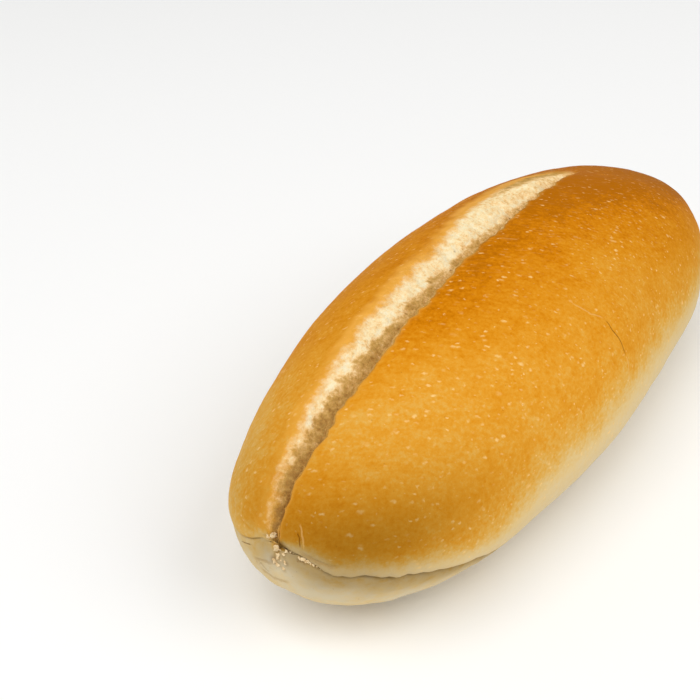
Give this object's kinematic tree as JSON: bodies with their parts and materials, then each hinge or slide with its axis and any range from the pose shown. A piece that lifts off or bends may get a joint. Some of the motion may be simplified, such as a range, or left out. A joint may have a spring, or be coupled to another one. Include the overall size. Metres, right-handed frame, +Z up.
{
  "type": "bolillo roll",
  "caption": "Oval crusty wheat roll with a lengthwise slash, a lifted ear on one side and a pale foot, resting on a flat base.",
  "frame": {"origin": "centre of the flat base, on the surface the roll rests on", "axes": "+X along the loaf towards its far end, away from the end creases; +Y to the narrow side of the slash; +Z up"},
  "size_m": [0.151, 0.0672, 0.0456],
  "materials": {
    "crust": "baked wheat crust, satin golden brown, cream crumb in the slash and pale foot"
  },
  "bodies": {
    "root": {"bolillo_roll": "crust"}
  },
  "joints": []
}
